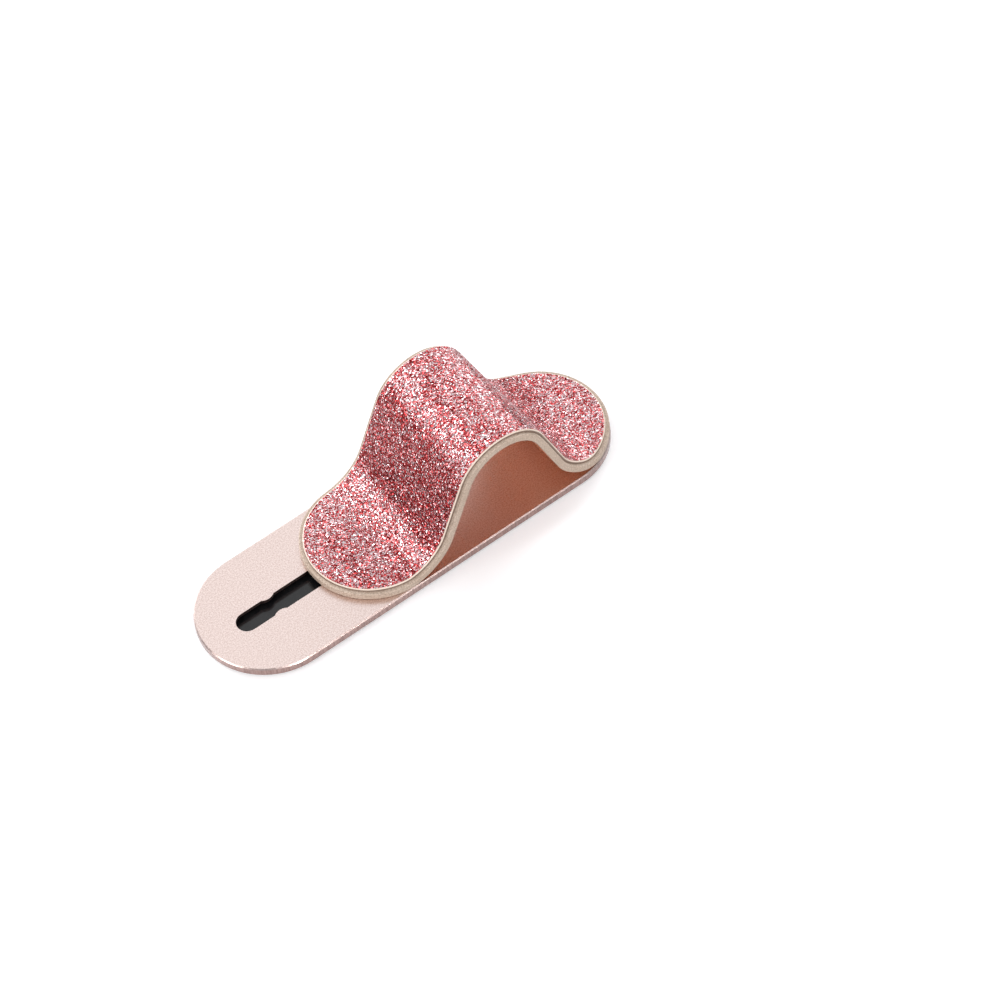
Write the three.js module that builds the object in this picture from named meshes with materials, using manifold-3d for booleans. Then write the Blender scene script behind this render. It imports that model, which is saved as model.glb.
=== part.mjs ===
// A finger grip that sticks to the back of a handheld device: a stadium plate with a guide slot, and a flexible
// strap that is fixed at one end, slides in the slot at the other, and stands up between them as a finger loop.
// Millimetres, +Z up. The origin is under the middle of the plate, on the underside of the adhesive pad.
// +X points to the fixed end, so the strap lies flat when its other end slides towards -X.

import * as THREE from 'three';
import { mergeVertices } from 'three/addons/utils/BufferGeometryUtils.js';
import Module from 'manifold-3d';

const wasm = await Module();
wasm.setup();

// Plate and adhesive pad
const plateLength = 82.2;
const plateWidth = 25.2;
const plateThickness = 1.6;
const upperChamfer = 0.2;
const lowerChamfer = 0.12;
const padThickness = 0.3;
const padInset = 0.5; // from the plate's edge to the pad's edge

// Strap: a soft backing with a facing bonded on top
const strapSideInset = 0.1; // from the plate's sides to the strap's sides
const strapEndInset = 0.1; // from the plate's end to the strap's fixed end
const strapSeatGap = 0.03; // between the plate and the strap's flat ends
const backingThickness = 1.35;
const backingEdgeRound = 0.2;
const facingThickness = 0.5;
const facingInset = 0.65; // from the backing's edge to the facing's edge
const facingEdgeRound = 0.3;
const glueLine = 0.05;

// Side view of the strap, along the middle of its thickness
const slidingLobe = 11.1; // flat run at the sliding end
const fixedLobe = 7.1; // flat run at the fixed end
const footRadius = 9.8; // hollow bend where the strap leaves the plate
const crownRadius = 8.6; // bend over the finger
const slidingLimb = 10.7; // straight run between those two bends, on the sliding side
const slidingLimbAngle = 65.5; // degrees between that limb and the plate
const fixedLimbAngle = 68; // the other limb's length follows, as the strap comes down to the plate again

// Studs that hold the strap's ends: a wide head inside the strap, an oblong neck and a peened foot
const neckLength = 4.4;
const neckWidth = 2.9;
const headMargin = 1.1; // how far the head reaches past the neck
const headThickness = 0.5;
const pocketGap = 0.08; // round the head and neck inside the strap
const tenonInset = 0.6; // step from the neck to the tenon that the keeper fits on
const footMargin = 0.4; // how far the peened foot reaches past the tenon
const footThickness = 0.2;
const keeperFit = 0.05; // round the tenon and foot inside a keeper
const slidingStudInset = 8.0; // from the strap's end to the middle of the stud
const fixedStudInset = 3.75;

// Guide slot, with a pair of bumps near each end that the neck squeezes past
const slotWidth = 4.0;
const slotStopGap = 0.1; // between the neck and the slot's end, at either stop
const detentHeight = 0.45;
const detentLength = 2.6;
const detentFromSlotEnd = 7.5;

// Keepers under the plate: a shoe that runs in a channel, and a washer in a counterbore
const channelDepth = 0.9;
const keeperThickness = 0.65;
const shoeLength = 9.0;
const shoeWidth = 7.4;
const shoeSideGap = 0.3;
const shoeTopGap = 0.1;
const washerMargin = 1.4; // how far the washer reaches past the neck
const washerSideGap = 0.1;
const washerTopGap = 0.02;
const fixedNeckGap = 0.05; // round the neck in the plate's hole

// Fineness of the curves
const endSteps = 18; // faces in each quarter of a large rounded end
const smallEndSteps = 8;
const bendStep = 7; // degrees
const stopMargin = 0.1; // least distance between a bend's row of points and a rounded end
const cutMargin = 1; // how far a cutting tool runs past the face it cuts
const weldDistance = 1e-4; // points closer than this are one point

// Heights and width
const plateBottom = padThickness;
const plateTop = plateBottom + plateThickness;
const channelRoof = plateBottom + channelDepth;
const strapBottom = plateTop + strapSeatGap;
const strapThickness = backingThickness + glueLine + facingThickness;
const strapMiddle = strapBottom + strapThickness / 2;
const backingTop = strapBottom + backingThickness;
const headBottom = backingTop - headThickness;
const strapWidth = plateWidth - 2 * strapSideInset;

// Side view of the strap as runs of its middle line, from the sliding end to the fixed end
const rise = THREE.MathUtils.degToRad(slidingLimbAngle);
const fall = THREE.MathUtils.degToRad(fixedLimbAngle);
const bendDrop = (footRadius + crownRadius) * (Math.cos(rise) - Math.cos(fall));
const fixedLimb = (slidingLimb * Math.sin(rise) - bendDrop) / Math.sin(fall);
const strapRuns = [
  { length: slidingLobe, turn: 0 },
  { length: footRadius * rise, turn: rise },
  { length: slidingLimb, turn: 0 },
  { length: crownRadius * (rise + fall), turn: -rise - fall },
  { length: fixedLimb, turn: 0 },
  { length: footRadius * fall, turn: fall },
  { length: fixedLobe, turn: 0 },
];
const strapLength = strapRuns.reduce((sum, run) => sum + run.length, 0);

// Walks the runs for a distance: how far it has gone along X, how high it is and which way it heads.
function walkStrap(distance) {
  let x = 0;
  let z = 0;
  let heading = 0;
  let left = distance;
  for (const run of strapRuns) {
    const step = run === strapRuns.at(-1) ? left : Math.min(left, run.length);
    if (run.turn) {
      const radius = run.length / run.turn;
      const next = heading + step / radius;
      x += radius * (Math.sin(next) - Math.sin(heading));
      z += radius * (Math.cos(heading) - Math.cos(next));
      heading = next;
    } else {
      x += step * Math.cos(heading);
      z += step * Math.sin(heading);
    }
    left -= step;
    if (left <= 0) break;
  }
  return { x, z, heading };
}

// Places along X. Pulled straight, the strap reaches further by the slide's travel.
const strapSpan = walkStrap(strapLength).x;
const slideTravel = strapLength - strapSpan;
const strapEndX = plateLength / 2 - strapEndInset;
const strapStartX = strapEndX - strapSpan;
const fixedStudX = strapEndX - fixedStudInset;
const slidingStudX = strapStartX + slidingStudInset;
const slotEndX = slidingStudX + neckLength / 2 + slotStopGap;
const slotStartX = slidingStudX - neckLength / 2 - slideTravel - slotStopGap;

// One side of a stadium outline, as points of distance along and distance out. An inset draws it smaller all round.
function stadiumSide(length, width, inset, steps, stops) {
  const end = width / 2;
  const radius = end - inset;
  const side = [];
  for (let i = 0; i <= steps; i++) {
    const angle = (i / steps) * (Math.PI / 2);
    side.push([end - radius * Math.cos(angle), radius * Math.sin(angle)]);
  }
  for (const stop of stops) side.push([stop, radius]);
  const isRound = length - width < weldDistance;
  for (let i = isRound ? steps - 1 : steps; i >= 0; i--) {
    const angle = (i / steps) * (Math.PI / 2);
    side.push([length - end + radius * Math.cos(angle), radius * Math.sin(angle)]);
  }
  return side;
}

// A closed slab with a stadium outline. Each level is { height, inset }, from the lowest up, and place turns
// (along, across, height) into a point, so the same slab can lie flat or follow a bend.
function stadiumSlab({ length, width, levels, steps = smallEndSteps, stops = [], place }) {
  const positions = [];
  const indices = [];
  const last = stadiumSide(length, width, 0, steps, stops).length - 1;
  const ringSize = 2 * last;
  for (const { height, inset } of levels) {
    const side = stadiumSide(length, width, inset, steps, stops);
    for (let i = 0; i < ringSize; i++) {
      const [along, out] = side[i <= last ? i : ringSize - i];
      positions.push(...place(along, i <= last ? out : -out, height).toArray());
    }
  }
  const rightOf = (ring, i) => ring * ringSize + i;
  const leftOf = (ring, i) => ring * ringSize + ((ringSize - i) % ringSize);
  for (let ring = 0; ring + 1 < levels.length; ring++) {
    for (let i = 0; i < ringSize; i++) {
      const j = (i + 1) % ringSize;
      const [a, b] = [ring * ringSize, (ring + 1) * ringSize];
      indices.push(a + i, b + i, b + j, a + i, b + j, a + j);
    }
  }
  const top = levels.length - 1;
  for (let i = 0; i < last; i++) {
    if (i + 1 < last) {
      indices.push(leftOf(top, i), leftOf(top, i + 1), rightOf(top, i + 1));
      indices.push(leftOf(0, i), rightOf(0, i + 1), leftOf(0, i + 1));
    }
    if (i > 0) {
      indices.push(leftOf(top, i), rightOf(top, i + 1), rightOf(top, i));
      indices.push(leftOf(0, i), rightOf(0, i), rightOf(0, i + 1));
    }
  }
  const geometry = new THREE.BufferGeometry();
  geometry.setAttribute('position', new THREE.Float32BufferAttribute(positions, 3));
  geometry.setIndex(indices);
  return geometry;
}

// A flat stadium slab between two heights, centred on (x, 0); acrossStrap turns its length to Y.
function flatSlab(x, length, width, bottom, top, { acrossStrap = false, steps, levels } = {}) {
  const place = (along, across, height) => {
    const reach = along - length / 2;
    return acrossStrap
      ? new THREE.Vector3(x - across, reach, height)
      : new THREE.Vector3(x + reach, across, height);
  };
  const flat = [{ height: bottom, inset: 0 }, { height: top, inset: 0 }];
  return stadiumSlab({ length, width, steps, levels: levels ?? flat, place });
}

function toSolid(geometry) {
  const bare = geometry.clone();
  bare.deleteAttribute('normal');
  bare.deleteAttribute('uv');
  const welded = mergeVertices(bare, weldDistance);
  const vertProperties = new Float32Array(welded.getAttribute('position').array);
  const triVerts = new Uint32Array(welded.getIndex().array);
  return new wasm.Manifold(new wasm.Mesh({ numProp: 3, vertProperties, triVerts }));
}

function toGeometry(solid) {
  const { vertProperties, triVerts } = solid.getMesh();
  const geometry = new THREE.BufferGeometry();
  geometry.setAttribute('position', new THREE.BufferAttribute(new Float32Array(vertProperties), 3));
  geometry.setIndex(new THREE.BufferAttribute(new Uint32Array(triVerts), 1));
  return geometry;
}

function cut(body, ...tools) {
  return toGeometry(tools.reduce((solid, tool) => solid.subtract(toSolid(tool)), toSolid(body)));
}

function join(body, ...others) {
  return toGeometry(others.reduce((solid, other) => solid.add(toSolid(other)), toSolid(body)));
}

// The slot's outline: two straight sides with a round-backed bump near each end, closed by half circles.
function slotShape() {
  const half = slotWidth / 2;
  const backRadius = (detentLength ** 2 / 4 + detentHeight ** 2) / (2 * detentHeight);
  const halfSweep = Math.asin(detentLength / 2 / backRadius);
  const backY = half + backRadius - detentHeight;
  const detents = [slotStartX + detentFromSlotEnd, slotEndX - detentFromSlotEnd];
  const shape = new THREE.Shape();
  shape.moveTo(slotStartX + half, -half);
  for (const x of detents) {
    shape.absarc(x, -backY, backRadius, Math.PI / 2 + halfSweep, Math.PI / 2 - halfSweep, true);
  }
  shape.absarc(slotEndX - half, 0, half, -Math.PI / 2, Math.PI / 2, false);
  for (const x of detents.toReversed()) {
    shape.absarc(x, backY, backRadius, -Math.PI / 2 + halfSweep, -Math.PI / 2 - halfSweep, true);
  }
  shape.absarc(slotStartX + half, 0, half, Math.PI / 2, 1.5 * Math.PI, false);
  return shape;
}

function basePlate() {
  const body = flatSlab(0, plateLength, plateWidth, plateBottom, plateTop, {
    steps: endSteps,
    levels: [
      { height: plateBottom, inset: lowerChamfer },
      { height: plateBottom + lowerChamfer, inset: 0 },
      { height: plateTop - upperChamfer, inset: 0 },
      { height: plateTop, inset: upperChamfer },
    ],
  });
  const depth = plateThickness + 2 * cutMargin;
  const slot = new THREE.ExtrudeGeometry(slotShape(), { depth, bevelEnabled: false, curveSegments: smallEndSteps });
  slot.translate(0, 0, plateBottom - cutMargin);
  const shoeReach = shoeLength + 2 * shoeSideGap;
  const channel = flatSlab(
    slidingStudX - slideTravel / 2,
    shoeReach + slideTravel,
    shoeWidth + 2 * shoeSideGap,
    plateBottom - cutMargin,
    channelRoof,
  );
  const neckHole = flatSlab(
    fixedStudX,
    neckLength + 2 * fixedNeckGap,
    neckWidth + 2 * fixedNeckGap,
    plateBottom - cutMargin,
    plateTop + cutMargin,
    { acrossStrap: true },
  );
  const washerReach = 2 * (washerMargin + washerSideGap);
  const counterbore = flatSlab(
    fixedStudX,
    neckLength + washerReach,
    neckWidth + washerReach,
    plateBottom - cutMargin,
    channelRoof,
    { acrossStrap: true },
  );
  return cut(body, slot, channel, neckHole, counterbore);
}

function adhesivePad() {
  return flatSlab(0, plateLength - 2 * padInset, plateWidth - 2 * padInset, 0, padThickness, { steps: endSteps });
}

// Where the strap's bends need a row of points, apart from its rounded ends, which have their own
function strapStops() {
  const stops = [];
  let start = 0;
  for (const run of strapRuns) {
    const steps = Math.max(1, Math.ceil(Math.abs(THREE.MathUtils.radToDeg(run.turn)) / bendStep));
    for (let i = 1; i <= steps; i++) stops.push(start + (run.length * i) / steps);
    start += run.length;
  }
  const end = strapWidth / 2;
  return stops.filter((stop) => stop > end + stopMargin && stop < strapLength - end - stopMargin);
}

// A layer of the strap between two heights, measured where the strap lies flat. It follows the strap's bends.
function strapLayer(levels) {
  const place = (along, across, height) => {
    const { x, z, heading } = walkStrap(along);
    const off = height - strapMiddle;
    return new THREE.Vector3(
      strapStartX + x - off * Math.sin(heading),
      across,
      strapMiddle + z + off * Math.cos(heading),
    );
  };
  return stadiumSlab({
    length: strapLength,
    width: strapWidth,
    levels,
    steps: endSteps,
    stops: strapStops(),
    place,
  });
}

// The pocket that a stud's head and neck sit in, cut from the backing
function studPocket(x, acrossStrap) {
  const reach = 2 * (headMargin + pocketGap);
  const recess = flatSlab(
    x,
    neckLength + reach,
    neckWidth + reach,
    headBottom - pocketGap,
    backingTop + cutMargin,
    { acrossStrap },
  );
  const hole = flatSlab(
    x,
    neckLength + 2 * pocketGap,
    neckWidth + 2 * pocketGap,
    strapBottom - cutMargin,
    backingTop,
    { acrossStrap },
  );
  return [recess, hole];
}

function strapBacking() {
  const layer = strapLayer([
    { height: strapBottom, inset: backingEdgeRound },
    { height: strapBottom + backingEdgeRound, inset: 0 },
    { height: backingTop, inset: 0 },
  ]);
  return cut(layer, ...studPocket(slidingStudX, false), ...studPocket(fixedStudX, true));
}

function glitterFacing() {
  const bottom = backingTop + glueLine;
  const top = bottom + facingThickness;
  const levels = [{ height: bottom, inset: facingInset }];
  for (const degrees of [0, 30, 60, 90]) {
    const angle = THREE.MathUtils.degToRad(degrees);
    levels.push({
      height: top - facingEdgeRound * (1 - Math.sin(angle)),
      inset: facingInset + facingEdgeRound * (1 - Math.cos(angle)),
    });
  }
  return strapLayer(levels);
}

// Sizes that a stud shares with its keeper
const tenonLength = neckLength - 2 * tenonInset;
const tenonWidth = neckWidth - 2 * tenonInset;
const footLength = tenonLength + 2 * footMargin;
const footWidth = tenonWidth + 2 * footMargin;

// A stud: head, neck down to the top of its keeper, tenon through the keeper, and foot flush with its underside
function stud(x, keeperTop, acrossStrap) {
  const keeperBottom = keeperTop - keeperThickness;
  const options = { acrossStrap };
  const head = flatSlab(
    x,
    neckLength + 2 * headMargin,
    neckWidth + 2 * headMargin,
    headBottom,
    backingTop,
    options,
  );
  const neck = flatSlab(x, neckLength, neckWidth, keeperTop, backingTop, options);
  const tenon = flatSlab(x, tenonLength, tenonWidth, keeperBottom, backingTop, options);
  const foot = flatSlab(x, footLength, footWidth, keeperBottom, keeperBottom + footThickness, options);
  return join(head, neck, tenon, foot);
}

// A keeper: a flat oblong with a hole for the tenon and a recess for the foot
function keeper(x, length, width, keeperTop, acrossStrap) {
  const keeperBottom = keeperTop - keeperThickness;
  const options = { acrossStrap };
  const body = flatSlab(x, length, width, keeperBottom, keeperTop, { acrossStrap, steps: endSteps });
  const hole = flatSlab(
    x,
    tenonLength + 2 * keeperFit,
    tenonWidth + 2 * keeperFit,
    keeperBottom - cutMargin,
    keeperTop + cutMargin,
    options,
  );
  const recess = flatSlab(
    x,
    footLength + 2 * keeperFit,
    footWidth + 2 * keeperFit,
    keeperBottom - cutMargin,
    keeperBottom + footThickness + keeperFit,
    options,
  );
  return cut(body, hole, recess);
}

const shoeTop = channelRoof - shoeTopGap;
const washerTop = channelRoof - washerTopGap;
const washerLength = neckLength + 2 * washerMargin;
const washerWidth = neckWidth + 2 * washerMargin;

const roseAluminium = new THREE.MeshStandardMaterial({ color: 0xe6bfb0, roughness: 0.42, metalness: 1 });
const blackTape = new THREE.MeshStandardMaterial({ color: 0x111113, roughness: 0.8, metalness: 0 });
const creamRubber = new THREE.MeshStandardMaterial({ color: 0xcbbfa8, roughness: 0.55, metalness: 0 });
const pinkGlitter = new THREE.MeshStandardMaterial({ color: 0xcc7a86, roughness: 0.3, metalness: 0.3 });
const plainSteel = new THREE.MeshStandardMaterial({ color: 0xb9babd, roughness: 0.35, metalness: 1 });
const blackPlastic = new THREE.MeshStandardMaterial({ color: 0x1d1d20, roughness: 0.5, metalness: 0 });

const grip = new THREE.Group();

function addPiece(name, geometry, material) {
  geometry.computeVertexNormals();
  const mesh = new THREE.Mesh(geometry, material);
  mesh.name = name;
  grip.add(mesh);
}

addPiece('base_plate', basePlate(), roseAluminium);
addPiece('adhesive_pad', adhesivePad(), blackTape);
addPiece('strap_backing', strapBacking(), creamRubber);
addPiece('glitter_facing', glitterFacing(), pinkGlitter);
addPiece('fixed_stud', stud(fixedStudX, washerTop, true), plainSteel);
addPiece('fixed_washer', keeper(fixedStudX, washerLength, washerWidth, washerTop, true), plainSteel);
addPiece('slider_stud', stud(slidingStudX, shoeTop, false), plainSteel);
addPiece('slider_shoe', keeper(slidingStudX, shoeLength, shoeWidth, shoeTop, false), blackPlastic);

export default grip;
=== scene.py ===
# Looks of a slide finger grip: a rose anodised plate with a guide slot, and a cream strap with a glitter
# facing that stands up as a finger loop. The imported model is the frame.
# Lengths are millimetres unless a name says otherwise.
import math

import bpy
from mathutils import Matrix, Vector


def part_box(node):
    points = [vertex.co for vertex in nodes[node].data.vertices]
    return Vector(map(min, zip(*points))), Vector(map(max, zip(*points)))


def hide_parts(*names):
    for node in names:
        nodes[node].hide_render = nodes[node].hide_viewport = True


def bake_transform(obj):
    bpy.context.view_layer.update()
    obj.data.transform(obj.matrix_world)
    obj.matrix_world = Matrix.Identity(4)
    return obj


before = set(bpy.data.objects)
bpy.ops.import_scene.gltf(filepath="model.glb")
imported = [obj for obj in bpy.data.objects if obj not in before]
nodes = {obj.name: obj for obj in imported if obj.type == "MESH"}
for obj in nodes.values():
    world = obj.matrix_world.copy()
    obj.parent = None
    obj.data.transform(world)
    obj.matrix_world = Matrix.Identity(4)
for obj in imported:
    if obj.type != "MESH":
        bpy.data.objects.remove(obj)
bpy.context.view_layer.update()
mm = 0.001
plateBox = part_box("base_plate")
print("frame loaded")


# Node maths: a Signal wraps a socket, and Python operators on it add the Math nodes.
class Signal:
    def __init__(self, graph, socket):
        self.graph = graph
        self.socket = socket

    # Another output of the same node
    def other(self, output):
        return Signal(self.graph, self.socket.node.outputs[output])

    def maths(self, operation, first, second=None):
        sockets = {0: first} if second is None else {0: first, 1: second}
        return self.graph.add("ShaderNodeMath", {"operation": operation}, sockets)

    def __add__(self, other):
        return self.maths("ADD", self, other)

    def __radd__(self, other):
        return self.maths("ADD", other, self)

    def __sub__(self, other):
        return self.maths("SUBTRACT", self, other)

    def __rsub__(self, other):
        return self.maths("SUBTRACT", other, self)

    def __mul__(self, other):
        return self.maths("MULTIPLY", self, other)

    def __rmul__(self, other):
        return self.maths("MULTIPLY", other, self)

    def __pow__(self, other):
        return self.maths("POWER", self, other)

    def __abs__(self):
        return self.maths("ABSOLUTE", self)

    def atLeast(self, other):
        return self.maths("MAXIMUM", self, other)

    def atMost(self, other):
        return self.maths("MINIMUM", self, other)

    def root(self):
        return self.maths("SQRT", self)

    def band(self, low, high, outLow=0.0, outHigh=1.0):
        return self.graph.add("ShaderNodeMapRange", {"interpolation_type": "SMOOTHSTEP"}, {
            "Value": self, "From Min": low, "From Max": high, "To Min": outLow, "To Max": outHigh,
        })


class Graph:
    def __init__(self, tree):
        self.tree = tree

    # Any node: its settings come first, and then the values or links of its sockets.
    def add(self, kind, settings=None, sockets=None, output=0):
        node = self.tree.nodes.new(kind)
        for key, value in (settings or {}).items():
            if key == "stops":
                self.setStops(node.color_ramp, value)
            else:
                setattr(node, key, value)
        for key, value in (sockets or {}).items():
            self.feed(node.inputs[key], value)
        return Signal(self, node.outputs[output])

    def setStops(self, ramp, stops):
        while len(ramp.elements) < len(stops):
            ramp.elements.new(1.0)
        for element, (position, colour) in zip(ramp.elements, stops):
            element.position = position
            element.color = (*colour, 1.0)

    def feed(self, socket, value):
        if isinstance(value, Signal):
            self.tree.links.new(value.socket, socket)
        elif isinstance(value, tuple) and socket.type == "RGBA":
            socket.default_value = (*value, 1.0)
        else:
            socket.default_value = value


class Finish(Graph):
    def __init__(self, name, **constants):
        self.material = bpy.data.materials.new(name)
        self.material.use_nodes = True
        super().__init__(self.material.node_tree)
        self.shader = self.tree.nodes["Principled BSDF"]
        for socket, value in constants.items():
            self.shader.inputs[socket.replace("_", " ")].default_value = value

    def set(self, **varying):
        for name, value in varying.items():
            self.feed(self.shader.inputs[name.replace("_", " ")], value)
        return self.material

    def place(self):
        return self.add("ShaderNodeTexCoord", output="Object")

    def strapPlace(self):
        return self.add("ShaderNodeUVMap", {"uv_map": "alongStrap"})

    def attribute(self, name, output="Fac"):
        return self.add("ShaderNodeAttribute", {"attribute_name": name}, output=output)

    def parts(self, vector):
        first = self.add("ShaderNodeSeparateXYZ", None, {0: vector})
        return first, first.other(1), first.other(2)

    def stretch(self, vector, scale):
        return self.add("ShaderNodeVectorMath", {"operation": "MULTIPLY"}, {0: vector, 1: scale})

    def mix(self, share, first, second):
        return self.add("ShaderNodeMix", {"data_type": "RGBA"}, {0: share, 6: first, 7: second}, output=2)

    def noise(self, place, perMetre, detail=2.0, roughness=0.5):
        sockets = {"Vector": place, "Scale": perMetre, "Detail": detail, "Roughness": roughness}
        return self.add("ShaderNodeTexNoise", None, sockets)

    def bump(self, height, distance, strength):
        sockets = {"Height": height, "Distance": distance, "Strength": strength}
        return self.add("ShaderNodeBump", None, sockets)


# Camera: it looks down on the grip from beyond the sliding end, with a little roll.
cameraPlace = {
    "placeM": (-0.24447, -0.41583, 0.63472),
    "clipStartM": 0.01,
    "sensorMm": 36.0,
    "framePixels": 1001,
    "focalPixels": 4700.8,
    "right": (0.79097, -0.60804, -0.06822),
    "down": (-0.51801, -0.60614, -0.60354),
    "ahead": (0.32562, 0.51272, -0.79441),
}


def addCamera(place):
    data = bpy.data.cameras.new("camera")
    data.sensor_width = place["sensorMm"]
    data.lens = place["focalPixels"] / place["framePixels"] * place["sensorMm"]
    data.clip_start = place["clipStartM"]
    camera = bpy.data.objects.new("camera", data)
    right, down, ahead = (Vector(place[key]) for key in ("right", "down", "ahead"))
    turn = Matrix((right, -down, -ahead)).transposed().to_4x4()
    camera.matrix_world = Matrix.Translation(place["placeM"]) @ turn
    bpy.context.scene.collection.objects.link(camera)
    bpy.context.scene.camera = camera


addCamera(cameraPlace)
print("camera placed")

# Studio: a dim pale sky all round, a broad lamp overhead, a low lamp in front and one behind that shine in
# under the strap, and one beyond each end. The floor is pale to the eye and in gloss, and grey to the light
# that it sends back, so that it doesn't fill the shade under the strap.
studio = {
    "sky": (0.95, 0.97, 1.0),
    "skyStrength": 0.42,
    "lamps": [
        {"name": "broadLamp", "placeM": (0.25, 0.45, 1.2), "sizeM": 2.0, "watts": 6.6},
        {"name": "frontLamp", "placeM": (-0.05, -1.2, 0.42), "sizeM": 0.7, "watts": 10.0},
        {"name": "backLamp", "placeM": (-0.2, 1.3, 0.4), "sizeM": 0.7, "watts": 13.5},
        {"name": "slidingEndLamp", "placeM": (-1.1, 0.1, 0.7), "sizeM": 0.7, "watts": 5.5},
        {"name": "fixedEndLamp", "placeM": (1.1, 0.7, 0.45), "sizeM": 0.7, "watts": 6.0},
    ],
    "floorShown": (0.9, 0.9, 0.91),
    "floorGlow": (0.22, 0.22, 0.22),
    "floorBounce": (0.2, 0.2, 0.2),
    "floorRoughness": 0.7,
    "floorSizeM": 6.0,
}


def addWorld(setup):
    world = bpy.data.worlds.new("paleStudio")
    world.use_nodes = True
    bpy.context.scene.world = world
    background = world.node_tree.nodes["Background"]
    background.inputs["Color"].default_value = (*setup["sky"], 1.0)
    background.inputs["Strength"].default_value = setup["skyStrength"]


def addLamps(setup):
    aim = Vector((0.0, 0.0, 0.0))
    for lamp in setup["lamps"]:
        data = bpy.data.lights.new(lamp["name"], "AREA")
        data.shape = "DISK"
        data.size = lamp["sizeM"]
        data.energy = lamp["watts"]
        light = bpy.data.objects.new(lamp["name"], data)
        place = Vector(lamp["placeM"])
        light.location = place
        light.rotation_euler = (aim - place).to_track_quat("-Z", "Y").to_euler()
        bpy.context.scene.collection.objects.link(light)


def addFloor(setup):
    half = setup["floorSizeM"] / 2
    mesh = bpy.data.meshes.new("floor")
    corners = [(-half, -half, 0.0), (half, -half, 0.0), (half, half, 0.0), (-half, half, 0.0)]
    mesh.from_pydata(corners, [], [(0, 1, 2, 3)])
    floor = bpy.data.objects.new("floor", mesh)
    bpy.context.scene.collection.objects.link(floor)
    finish = Finish("paleFloor", Roughness=setup["floorRoughness"], Emission_Strength=1.0)
    seen = finish.add("ShaderNodeLightPath", output="Is Camera Ray")
    shown = seen + seen.other("Is Glossy Ray") + seen.other("Is Transmission Ray")
    colour = finish.mix(shown.atMost(1.0), setup["floorBounce"], setup["floorShown"])
    glow = finish.mix(seen, (0.0, 0.0, 0.0), setup["floorGlow"])
    floor.data.materials.append(finish.set(Base_Color=colour, Emission_Color=glow))


addWorld(studio)
addLamps(studio)
addFloor(studio)
bpy.context.scene.view_settings.view_transform = "Standard"
print("studio lit")

# Strap: two bonded layers that follow one line, seen from the side.
strap = {
    "width": 25.0,
    "endInset": 0.1,  # from the plate's end to the fixed end
    "seatGap": 0.03,
    "slidingLobe": 11.1,
    "fixedLobe": 7.1,
    "footRadius": 9.8,
    "crownRadius": 8.6,
    "slidingLimb": 10.7,
    "slidingLimbDegrees": 65.5,
    "fixedLimbDegrees": 68.0,
    "backing": 1.35,
    "backingLowRound": 0.2,
    "backingTopRound": 0.12,
    "glueLine": 0.05,
    "facing": 0.5,
    "facingInset": 0.65,
    "facingLowRound": 0.05,
    "facingTopRound": 0.3,
    "flatBorder": 0.25,  # a ring of points inside the rounded edge
    "stepAlong": 0.5,
    "endSteps": 48,
    "roundSteps": 5,
}


def strapRuns(sizes):
    rise = math.radians(sizes["slidingLimbDegrees"])
    fall = math.radians(sizes["fixedLimbDegrees"])
    foot, crown = sizes["footRadius"], sizes["crownRadius"]
    bendDrop = (foot + crown) * (math.cos(rise) - math.cos(fall))
    fixedLimb = (sizes["slidingLimb"] * math.sin(rise) - bendDrop) / math.sin(fall)
    return [
        (sizes["slidingLobe"], 0.0),
        (foot * rise, rise),
        (sizes["slidingLimb"], 0.0),
        (crown * (rise + fall), -rise - fall),
        (fixedLimb, 0.0),
        (foot * fall, fall),
        (sizes["fixedLobe"], 0.0),
    ]


runs = strapRuns(strap)
strapLength = sum(length for length, turn in runs)


# Where a distance along the strap's line leads: x and z from the sliding end, and the heading there
def walkStrap(distance):
    x = z = heading = 0.0
    left = distance
    for number, (length, turn) in enumerate(runs):
        step = left if number == len(runs) - 1 else min(left, length)
        if turn:
            radius = length / turn
            following = heading + step / radius
            x += radius * (math.sin(following) - math.sin(heading))
            z += radius * (math.cos(heading) - math.cos(following))
            heading = following
        else:
            x += step * math.cos(heading)
            z += step * math.sin(heading)
        left -= step
        if left <= 0:
            break
    return x, z, heading


plateTop = plateBox[1].z / mm
plateEnd = plateBox[1].x / mm
strapBottom = plateTop + strap["seatGap"]
backingTop = strapBottom + strap["backing"]
facingBottom = backingTop + strap["glueLine"]
strapTop = facingBottom + strap["facing"]
strapMiddle = (strapBottom + strapTop) / 2
strapStart = plateEnd - strap["endInset"] - walkStrap(strapLength)[0]


def onStrap(along, across, height):
    x, z, heading = walkStrap(along)
    off = height - strapMiddle
    return Vector((
        strapStart + x - off * math.sin(heading),
        across,
        strapMiddle + z + off * math.cos(heading),
    )) * mm


# One side of the strap's outline, as (along, out), drawn smaller by an inset.
def strapSide(inset):
    end = strap["width"] / 2
    radius = end - inset
    steps = strap["endSteps"]
    quarter = [math.pi / 2 * step / steps for step in range(steps + 1)]
    side = [(end - radius * math.cos(angle), radius * math.sin(angle)) for angle in quarter]
    straight = strapLength - 2 * end
    count = round(straight / strap["stepAlong"])
    side += [(end + straight * step / count, radius) for step in range(1, count)]
    farEnd = strapLength - end
    side += [(farEnd + radius * math.cos(angle), radius * math.sin(angle)) for angle in reversed(quarter)]
    return side


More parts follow.
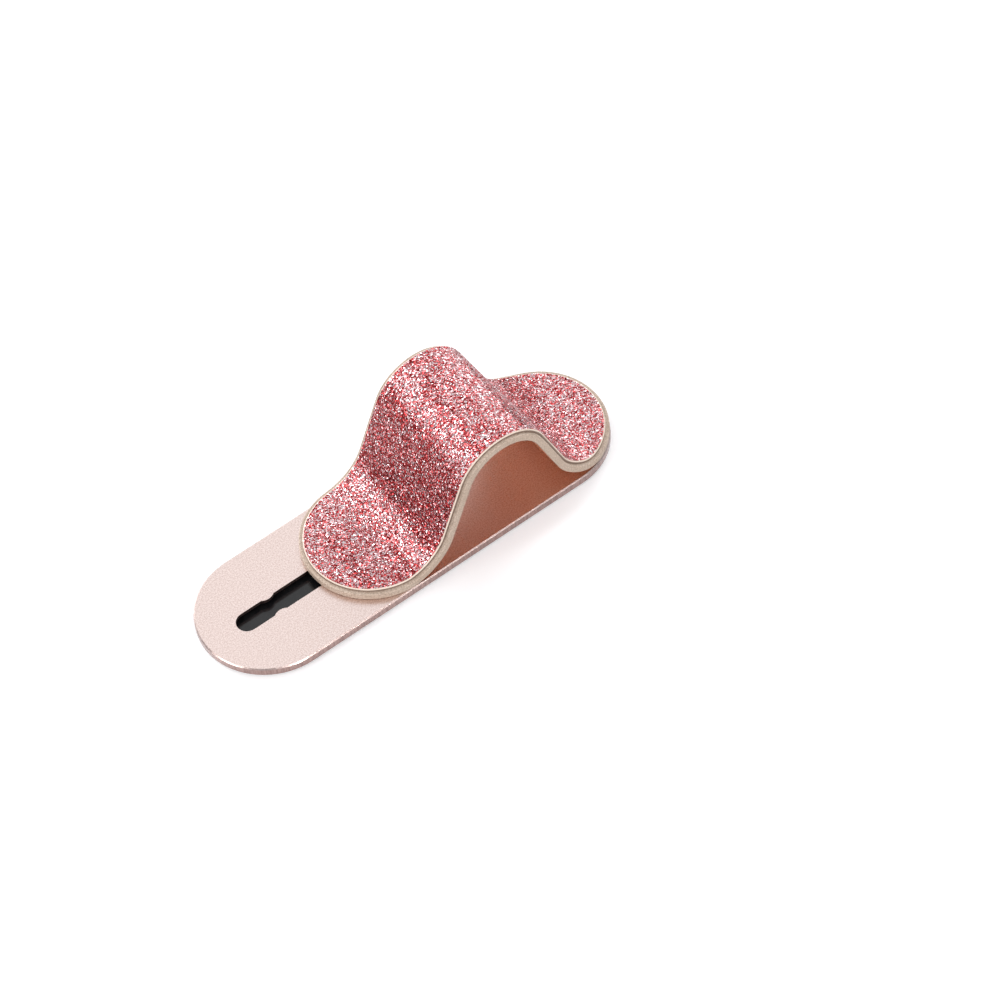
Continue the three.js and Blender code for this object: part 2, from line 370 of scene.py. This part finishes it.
# A closed layer of the strap. Levels are (height, inset) from the lowest up, and the two outer ones are flat
# borders. After the side faces come the flat ones, in pairs: one of the top, and then one of the bottom.
def strapLayer(name, levels):
    points, places = [], []
    for height, inset in levels:
        side = strapSide(inset)
        last = len(side) - 1
        ring = side + [(along, -out) for along, out in reversed(side[1:last])]
        points += [onStrap(along, across, height) for along, across in ring]
        places += ring
    size = 2 * last
    faces = []
    for level in range(len(levels) - 1):
        lower, upper = level * size, (level + 1) * size
        for here in range(size):
            after = (here + 1) % size
            faces.append((lower + here, upper + here, upper + after, lower + after))
    sideFaces = len(faces)
    top = (len(levels) - 1) * size
    for here in range(last):
        corners = (here, here + 1, (size - here - 1) % size, (size - here) % size)
        for base, turned in ((top, False), (0, True)):
            around = list(dict.fromkeys(base + corner for corner in corners))
            faces.append(tuple(around if turned else reversed(around)))
    mesh = bpy.data.meshes.new(name)
    mesh.from_pydata([point[:] for point in points], [], faces)
    layer = mesh.uv_layers.new(name="alongStrap")
    for loop in mesh.loops:
        along, across = places[loop.vertex_index]
        layer.data[loop.index].uv = (along * mm, across * mm)
    innerFace = mesh.attributes.new("innerFace", "FLOAT", "POINT")
    innerFace.data.foreach_set("value", [1.0 if point < size else 0.0 for point in range(len(points))])
    chipArea = mesh.attributes.new("chipArea", "BOOLEAN", "FACE")
    topFaces = set(range(sideFaces, len(faces), 2))
    chipArea.data.foreach_set("value", [face in topFaces for face in range(len(faces))])
    mesh.polygons.foreach_set("use_smooth", [True] * len(mesh.polygons))
    mesh.update()
    piece = bpy.data.objects.new(name, mesh)
    bpy.context.scene.collection.objects.link(piece)
    return piece


def roundedLevels(bottom, top, inset, lowRound, highRound):
    steps, border = strap["roundSteps"], strap["flatBorder"]
    angles = [math.pi / 2 * step / steps for step in range(steps + 1)]
    levels = [(bottom, inset + lowRound + border)]
    for angle in angles:
        levels.append((bottom + lowRound * (1 - math.cos(angle)), inset + lowRound * (1 - math.sin(angle))))
    for angle in angles:
        levels.append((top - highRound * (1 - math.sin(angle)), inset + highRound * (1 - math.cos(angle))))
    levels.append((top, inset + highRound + border))
    return levels


backingPiece = strapLayer("strapBacking", roundedLevels(
    strapBottom, backingTop, 0.0, strap["backingLowRound"], strap["backingTopRound"]))
facingPiece = strapLayer("glitterFacing", roundedLevels(
    facingBottom, strapTop, strap["facingInset"], strap["facingLowRound"], strap["facingTopRound"]))
print("strap layers made")

# Glitter: small flakes, each with its own colour and tilt, inside a rim whose pale colour is a painted
# highlight on its rounded edge, over a thin line of painted shadow. Painted shade darkens the flakes over
# the sliding limb and in bands near the bends, which are given from where the strap's runs end.
bends = [sum(length for length, turn in runs[:count]) for count in range(1, len(runs))]
glitterLook = {
    "flakesPerMetre": 5200.0,
    "flakeStops": [
        (0.0, (0.13, 0.006, 0.007)),
        (0.2, (0.34, 0.021, 0.023)),
        (0.42, (0.51, 0.085, 0.091)),
        (0.6, (0.58, 0.24, 0.252)),
        (0.76, (0.64, 0.44, 0.458)),
        (0.9, (0.80, 0.74, 0.757)),
    ],
    "chipStops": [
        (0.0, (0.26, 0.012, 0.015)),
        (0.35, (0.54, 0.09, 0.1)),
        (0.65, (0.64, 0.35, 0.375)),
        (0.85, (0.85, 0.80, 0.825)),
    ],
    "metallic": 0.95,
    "roughness": 0.3,
    "rimRoughness": 0.45,
    "tilt": 0.36,
    "bentTilt": 0.3,  # added on the stretches darkened by painted shade
    "rim": 0.28,
    "rimStart": 0.168,  # the rim is whole from here to the edge
    # The rim is where the glitter stops, and its pale colour is a painted highlight along the facing's
    # rounded edge
    "rimHighlight": (0.84, 0.69, 0.58),
    "wall": (0.04, 0.01),  # the wall below the rim begins and is whole at these distances from the edge
    # A painted shadow: a thin dark line on the facing's low side wall, where the glue line is in shade
    "glueLineShadow": (0.22, 0.15, 0.115),
    "shadeDepth": 1.1,  # how far the painted shade darkens the flakes' tone
    # Stretches of painted shade: the whole sliding limb, which faces away from the light, and narrow bands
    # near the bends
    "shadeStretches": (  # start, rise to it, end, fall after it, share
        (bends[1] - 2.3, 1.6, bends[2] + 1.8, 1.8, 1.0),
        (bends[0] + 2.6, 0.6, bends[0] + 3.2, 0.8, 0.4),
        (bends[3] - 12.6, 0.5, bends[3] - 12.2, 1.2, 0.55),
        (bends[3] - 3.7, 0.8, bends[3] - 2.2, 1.5, 1.0),
        (bends[4], 1.0, bends[5] - 6.0, 3.0, 0.4),
    ),
    "slant": 0.12,  # how far along a crease goes for each length across
    "wander": 1.6,
    "wanderPerMetre": 140.0,
    "streaksPerMetre": (260.0, 22.0, 1.0),  # along and across the strap
    "streakDetail": 3.0,
    "streakBand": (0.5, 0.68),
    "streakShare": 0.4,
}


# How much painted shade darkens the glitter at a place on the strap: over the sliding limb, in bands across
# it near the bends, and in streaks across it at random
def paintedShadeAt(finish, place, look):
    along, across = finish.parts(place)[:2]
    wander = (finish.noise(place, look["wanderPerMetre"]) - 0.5) * look["wander"] * mm
    at = along - across * look["slant"] + wander
    share = 0.0
    for start, rise, end, fall, weight in look["shadeStretches"]:
        rising = at.band((start - rise) * mm, start * mm)
        falling = at.band(end * mm, (end + fall) * mm, 1.0, 0.0)
        share = rising * falling * weight + share
    stretched = finish.stretch(place, look["streaksPerMetre"])
    streaks = finish.noise(stretched, 1.0, look["streakDetail"]).band(*look["streakBand"])
    return (share + streaks * look["streakShare"]).atMost(1.0)


# Loose glitter: low five-sided chips scattered over the facing by Geometry Nodes
chips = {
    "Per Square Metre": 6.4e6,
    "Sides": 5,
    "Radius": 0.000115,
    "Height": 0.00003,
    "Smallest": 0.6,
    "Largest": 1.25,
    "Lean": 0.42,
    "Seed": 7,
}


class Tree(Graph):
    def __init__(self, name, inputs):
        super().__init__(bpy.data.node_groups.new(name, "GeometryNodeTree"))
        sides = self.tree.interface
        for way in ("INPUT", "OUTPUT"):
            sides.new_socket("Geometry", in_out=way, socket_type="NodeSocketGeometry")
        self.keys = {}
        for label, value in inputs.items():
            kind = {int: "NodeSocketInt", float: "NodeSocketFloat"}.get(type(value), "NodeSocketMaterial")
            self.keys[label] = sides.new_socket(label, in_out="INPUT", socket_type=kind).identifier
        entry = self.tree.nodes.new("NodeGroupInput")
        self.given = {socket.name: Signal(self, socket) for socket in entry.outputs}

    def vector(self, x, y, z):
        return self.add("ShaderNodeCombineXYZ", None, {0: x, 1: y, 2: z})

    def finish(self, geometry):
        leaving = self.tree.nodes.new("NodeGroupOutput")
        self.feed(leaving.inputs[0], geometry)


def chipTree(values):
    grow = Tree("scatterChips", values)
    given = grow.given
    area = grow.add("GeometryNodeInputNamedAttribute", {"data_type": "BOOLEAN"}, {"Name": "chipArea"})
    scatter = grow.add("GeometryNodeDistributePointsOnFaces", {"distribute_method": "RANDOM"}, {
        "Mesh": given["Geometry"], "Selection": area, "Density": given["Per Square Metre"],
        "Seed": given["Seed"],
    })
    chip = grow.add("GeometryNodeMeshCone", {"fill_type": "NGON"}, {
        "Vertices": given["Sides"], "Radius Bottom": given["Radius"], "Depth": given["Height"],
    })
    leanBack = given["Lean"] * -1.0
    lean = grow.add("FunctionNodeRandomValue", {"data_type": "FLOAT_VECTOR"}, {
        0: grow.vector(leanBack, leanBack, 0.0),
        1: grow.vector(given["Lean"], given["Lean"], math.tau),
        "Seed": given["Seed"],
    })
    turned = grow.add("FunctionNodeRotateRotation", {"rotation_space": "LOCAL"}, {
        0: scatter.other("Rotation"), 1: grow.add("FunctionNodeEulerToRotation", None, {0: lean}),
    })
    size = grow.add("FunctionNodeRandomValue", {"data_type": "FLOAT"}, {
        2: given["Smallest"], 3: given["Largest"],
    }, output=1)
    placed = grow.add("GeometryNodeInstanceOnPoints", None, {
        "Points": scatter, "Instance": chip, "Rotation": turned, "Scale": size,
    })
    tone = grow.add("FunctionNodeRandomValue", {"data_type": "FLOAT"}, {"Seed": given["Seed"]}, output=1)
    toned = grow.add("GeometryNodeStoreNamedAttribute", {"data_type": "FLOAT", "domain": "INSTANCE"}, {
        "Geometry": placed, "Name": "chipTone", "Value": tone,
    })
    real = grow.add("GeometryNodeRealizeInstances", None, {0: toned})
    dressed = grow.add("GeometryNodeSetMaterial", None, {"Geometry": real, "Material": given["Material"]})
    grow.finish(dressed)
    return grow


def chipFinish(look):
    finish = Finish("chipGlitter", Metallic=0.9, Roughness=0.24)
    tone = finish.attribute("chipTone")
    # The chips take the same painted shade as the flakes
    shadeStretches = paintedShadeAt(finish, finish.attribute("alongStrap", "Vector"), look)
    shadedTone = tone ** (1 + shadeStretches * look["shadeDepth"])
    colour = finish.add("ShaderNodeValToRGB", {"stops": look["chipStops"]}, {0: shadedTone})
    return finish.set(Base_Color=colour)


def scatterChips(carrier, values):
    values = {**values, "Material": chipFinish(glitterLook)}
    grow = chipTree(values)
    work = bpy.data.objects.new("chipCarrier", carrier.data.copy())
    bpy.context.scene.collection.objects.link(work)
    modifier = work.modifiers.new("chips", "NODES")
    modifier.node_group = grow.tree
    for label, value in values.items():
        modifier[grow.keys[label]] = value
    evaluated = work.evaluated_get(bpy.context.evaluated_depsgraph_get())
    mesh = bpy.data.meshes.new_from_object(evaluated)
    mesh.name = "glitterChips"
    work.modifiers.remove(modifier)
    bpy.data.objects.remove(work)
    piece = bpy.data.objects.new("glitterChips", mesh)
    bpy.context.scene.collection.objects.link(piece)
    return piece


chipPiece = scatterChips(facingPiece, chips)
print("chips scattered:", len(chipPiece.data.polygons), "faces")

# Plate: rose anodising over a fine blasted face; the sheared sides carry shear streaks, and their darker
# colour is painted shade
plateLook = {
    "rose": (0.85, 0.70, 0.655),
    "roseDeep": (0.68, 0.52, 0.47),
    "side": (0.50, 0.31, 0.27),
    "sideShadeDark": (0.34, 0.19, 0.165),
    "isFace": (0.3, 0.98),  # a surface turns from side to face as its normal's Z grows, and the sides take the painted shade
    "roughness": 0.31,
    "grainPerMetre": 4200.0,
    "grainDetail": 2.0,
    "grainRoughness": 0.6,
    "grainBand": (0.4, 0.6),
    "grainInRoughness": 0.2,
    "grainHeightM": 0.00004,
    "bumpStrength": 0.7,
    "cloudsPerMetre": 120.0,
    "cloudDetail": 3.0,
    "cloudInRoughness": 0.06,
    "streaksPerMetre": 3200.0,
    "streakStretch": (1.0, 1.0, 0.12),
    "streakDetail": 2.0,
    "streakRoughness": 0.7,
    "streakBand": (0.35, 0.65),
}


def plateFinish(look):
    finish = Finish("roseAnodised", Metallic=1.0, Coat_Weight=1.0, Coat_Roughness=0.2, Coat_IOR=1.8)
    place = finish.place()
    grain = finish.noise(place, look["grainPerMetre"], look["grainDetail"], look["grainRoughness"])
    clouds = finish.noise(place, look["cloudsPerMetre"], look["cloudDetail"])
    face = finish.mix(grain.band(*look["grainBand"]), look["roseDeep"], look["rose"])
    stretched = finish.stretch(place, look["streakStretch"])
    streaks = finish.noise(stretched, look["streaksPerMetre"], look["streakDetail"], look["streakRoughness"])
    # The sides' darker colour is painted shade; it also dims the highlight on the top chamfer, which is
    # partly side
    side = finish.mix(streaks.band(*look["streakBand"]), look["sideShadeDark"], look["side"])
    upward = finish.parts(finish.add("ShaderNodeNewGeometry", output="True Normal"))[2]
    isFace = abs(upward).band(*look["isFace"])
    cloudy = (clouds - 0.5) * look["cloudInRoughness"]
    rough = look["roughness"] + cloudy + (grain - 0.5) * look["grainInRoughness"]
    height = grain * isFace + streaks * (1 - isFace)
    normal = finish.bump(height, look["grainHeightM"], look["bumpStrength"])
    return finish.set(Base_Color=finish.mix(isFace, side, face), Roughness=rough, Normal=normal)


# Strap rubber: cream at the edges; the warm tan on the inner face, which the plate mirrors, is painted light
# that stands in for the warm shade under the strap
backingLook = {
    "cream": ((0.59, 0.455, 0.36), (0.67, 0.535, 0.435)),
    "speck": (0.42, 0.31, 0.235),
    "speckBand": (0.36, 0.6),
    "tan": ((0.80, 0.33, 0.155), (0.86, 0.365, 0.18)),
    "roughness": 0.4,
    "grainPerMetre": 3600.0,
    "grainDetail": 3.0,
    "grainRoughness": 0.7,
    "grainInRoughness": 0.2,
    "grainHeightM": 0.00003,
    "bumpStrength": 0.5,
    "cloudsPerMetre": 260.0,
    "cloudDetail": 3.0,
    "cloudBand": (0.3, 0.7),
}


def backingFinish(look):
    finish = Finish("creamRubber", Metallic=0.0)
    place = finish.place()
    grain = finish.noise(place, look["grainPerMetre"], look["grainDetail"], look["grainRoughness"])
    cloudy = finish.noise(place, look["cloudsPerMetre"], look["cloudDetail"]).band(*look["cloudBand"])
    cream = finish.mix(cloudy, *look["cream"])
    outer = finish.mix(grain.band(*look["speckBand"]), look["speck"], cream)
    # The inner face takes the tan, which is painted shade and not the rubber's own colour
    colour = finish.mix(finish.attribute("innerFace"), outer, finish.mix(cloudy, *look["tan"]))
    rough = look["roughness"] + grain * look["grainInRoughness"]
    normal = finish.bump(grain, look["grainHeightM"], look["bumpStrength"])
    return finish.set(Base_Color=colour, Roughness=rough, Normal=normal)


# The distance from the line that the strap's round ends turn about
def fromMiddleLine(along, across):
    middle = strapLength / 2 * mm
    bend = middle - strap["width"] / 2 * mm
    beyond = (abs(along - middle) - bend).atLeast(0.0)
    return (beyond * beyond + across * across).root()


def glitterFinish(look):
    finish = Finish("pinkGlitter")
    place = finish.strapPlace()
    along, across = finish.parts(place)[:2]
    flake = finish.add("ShaderNodeTexVoronoi", {"voronoi_dimensions": "2D", "feature": "F1"}, {
        "Vector": place, "Scale": look["flakesPerMetre"], "Randomness": 1.0,
    }, output="Color")
    red = finish.add("ShaderNodeSeparateColor", {"mode": "RGB"}, {0: flake})
    green, blue = red.other(1), red.other(2)
    shadeStretches = paintedShadeAt(finish, place, look)
    # Painted shade darkens the flakes' tone on the limb and near the bends
    shadedTone = red ** (1 + shadeStretches * look["shadeDepth"])
    colour = finish.add("ShaderNodeValToRGB", {"stops": look["flakeStops"]}, {0: shadedTone})
    edge = strap["width"] / 2 - strap["facingInset"]
    out = fromMiddleLine(along, across)
    rim = out.band((edge - look["rim"]) * mm, (edge - look["rimStart"]) * mm)
    wall = out.band(*((edge - start) * mm for start in look["wall"]))
    colour = finish.mix(rim, colour, finish.mix(wall, look["rimHighlight"], look["glueLineShadow"]))
    tilt = look["tilt"] + shadeStretches * look["bentTilt"]
    lean = finish.add("ShaderNodeCombineColor", {"mode": "RGB"}, {
        0: (green - 0.5) * tilt + 0.5, 1: (blue - 0.5) * tilt + 0.5, 2: 1.0,
    })
    lean = finish.mix(rim, lean, (0.5, 0.5, 1.0))
    normal = finish.add("ShaderNodeNormalMap", {"space": "TANGENT", "uv_map": "alongStrap"}, {1: lean})
    rough = look["roughness"] + rim * (look["rimRoughness"] - look["roughness"])
    metallic = (1 - rim) * look["metallic"]
    return finish.set(Base_Color=colour, Metallic=metallic, Roughness=rough, Normal=normal)


# The black tape under the plate, the studs' turned steel and the shoe's plastic: a plain colour with a grain
padLook = {
    "metallic": 0.0,
    "colours": ((0.008, 0.008, 0.009), (0.014, 0.014, 0.015)),
    "roughness": 0.12,
    "grainPerMetre": 900.0,
    "grainBand": (0.3, 0.7),
    "grainDetail": 3.0,
    "grainInRoughness": 0.08,
    "grainHeightM": 0.00001,
    "bumpStrength": 0.3,
}
steelLook = {
    "metallic": 1.0,
    "colours": ((0.46, 0.46, 0.47), (0.56, 0.56, 0.57)),
    "roughness": 0.28,
    "grainPerMetre": 3000.0,
    "grainBand": (0.3, 0.7),
    "grainDetail": 2.0,
    "grainInRoughness": 0.14,
    "grainHeightM": 0.000008,
    "bumpStrength": 0.5,
}
shoeLook = {
    "metallic": 0.0,
    "colours": ((0.011, 0.011, 0.012), (0.02, 0.02, 0.022)),
    "roughness": 0.4,
    "grainPerMetre": 2500.0,
    "grainBand": (0.3, 0.7),
    "grainDetail": 3.0,
    "grainInRoughness": 0.2,
    "grainHeightM": 0.00001,
    "bumpStrength": 0.5,
}


def grainedFinish(name, look):
    finish = Finish(name, Metallic=look["metallic"])
    grain = finish.noise(finish.place(), look["grainPerMetre"], look["grainDetail"])
    colour = finish.mix(grain.band(*look["grainBand"]), *look["colours"])
    rough = look["roughness"] + grain * look["grainInRoughness"]
    normal = finish.bump(grain, look["grainHeightM"], look["bumpStrength"])
    return finish.set(Base_Color=colour, Roughness=rough, Normal=normal)


def dress(piece, material):
    piece.data.materials.clear()
    piece.data.materials.append(material)


steel = grainedFinish("turnedSteel", steelLook)
dress(nodes["base_plate"], plateFinish(plateLook))
dress(nodes["adhesive_pad"], grainedFinish("blackTape", padLook))
for stud in ("fixed_stud", "fixed_washer", "slider_stud"):
    dress(nodes[stud], steel)
dress(nodes["slider_shoe"], grainedFinish("blackPlastic", shoeLook))
dress(backingPiece, backingFinish(backingLook))
dress(facingPiece, glitterFinish(glitterLook))
print("finishes set")

archStart = (strapStart + strap["slidingLobe"]) * mm
for piece, node, slot in (
    (backingPiece, "strap_backing", "strap_rubber"),
    (facingPiece, "glitter_facing", "strap_glitter"),
):
    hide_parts(node)
    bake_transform(piece)
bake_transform(chipPiece)
print("strap pieces set in place of the model's strap")
